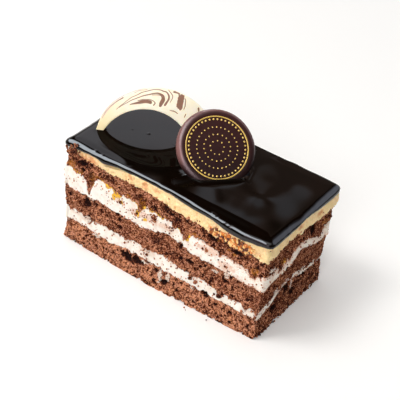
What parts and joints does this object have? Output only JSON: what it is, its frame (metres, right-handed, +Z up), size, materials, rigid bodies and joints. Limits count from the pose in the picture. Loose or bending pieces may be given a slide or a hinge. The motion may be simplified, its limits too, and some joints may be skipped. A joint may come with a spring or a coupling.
{
  "type": "glazed chocolate layer cake slice",
  "caption": "Oblong layered cake slice, sponge and cream under a dark mirror glaze, with a chocolate disc and a white chocolate crescent standing in the glaze.",
  "frame": {"origin": "on the table, below the middle of the slice", "axes": "+X along the length of the slice to the right, +Y from the front cut face to the back, +Z up"},
  "size_m": [0.102, 0.0562, 0.0712],
  "materials": {
    "sponge": "porous brown chocolate crumb",
    "cream": "soft whipped cream, warm white, with crumbs pressed in",
    "buttercream": "smooth pale yellow cream",
    "glaze": "near black mirror glaze",
    "dark_chocolate": "moulded dark chocolate, satin",
    "white_chocolate": "white chocolate marbled with milk chocolate"
  },
  "bodies": {
    "root": {"sponge_bottom": "sponge", "cream_lower": "cream", "sponge_middle": "sponge", "cream_upper": "cream", "sponge_top": "sponge", "buttercream": "buttercream", "glaze": "glaze", "chocolate_disc": "dark_chocolate", "chocolate_arch": "white_chocolate"}
  },
  "joints": []
}
